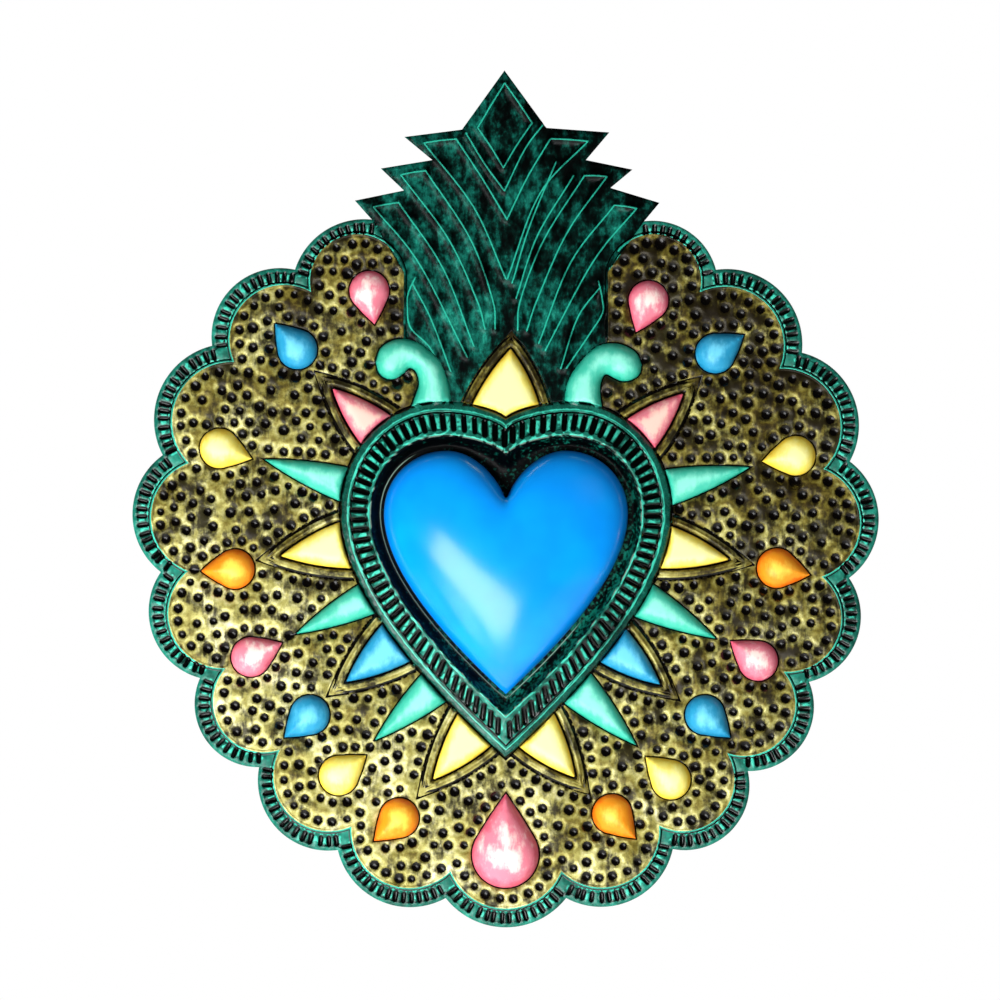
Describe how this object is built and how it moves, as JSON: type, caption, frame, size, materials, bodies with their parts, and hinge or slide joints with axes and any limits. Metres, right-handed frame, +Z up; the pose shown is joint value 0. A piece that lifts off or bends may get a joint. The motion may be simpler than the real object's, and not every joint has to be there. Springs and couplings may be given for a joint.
{
  "type": "tin heart wall ornament",
  "caption": "Wall ornament of chased and painted tin around a domed wooden heart, with a wire hanging ring that swings behind it.",
  "frame": {"origin": "the middle of the nail that the ornament hangs on, in the plane of the wall", "axes": "+Z up along the ornament's height, +Y into the wall behind it, so the painted front faces -Y"},
  "size_m": [0.265, 0.0205, 0.3042],
  "materials": {
    "painted_tin": "translucent coloured lacquers and gold over black on chased tin",
    "enamelled_wood": "smooth satin blue enamel",
    "zinc_plated_steel": "bright zinc plating",
    "screw_steel": "turned head, lightly dulled",
    "bare_tin": "tinned sheet, left bare",
    "solder": "dull grey, flowed",
    "galvanised_wire": "drawn wire, galvanised"
  },
  "bodies": {
    "ornament": {"tin_sheet": "painted_tin", "wood_heart": "enamelled_wood", "washer_1": "zinc_plated_steel", "washer_2": "zinc_plated_steel", "washer_3": "zinc_plated_steel", "wood_screw_1": "screw_steel", "wood_screw_2": "screw_steel", "wood_screw_3": "screw_steel", "hanger_strap": "bare_tin", "solder_upper": "solder", "solder_lower": "solder"},
    "ring": {"hanger_ring": "galvanised_wire"}
  },
  "joints": [
    {"name": "ring_swing", "type": "hinge", "parent": "ornament", "child": "ring", "pos_m": [0, -0.0018, -0.0135], "axis": [1, 0, 0], "range_deg": [0, 180]}
  ]
}
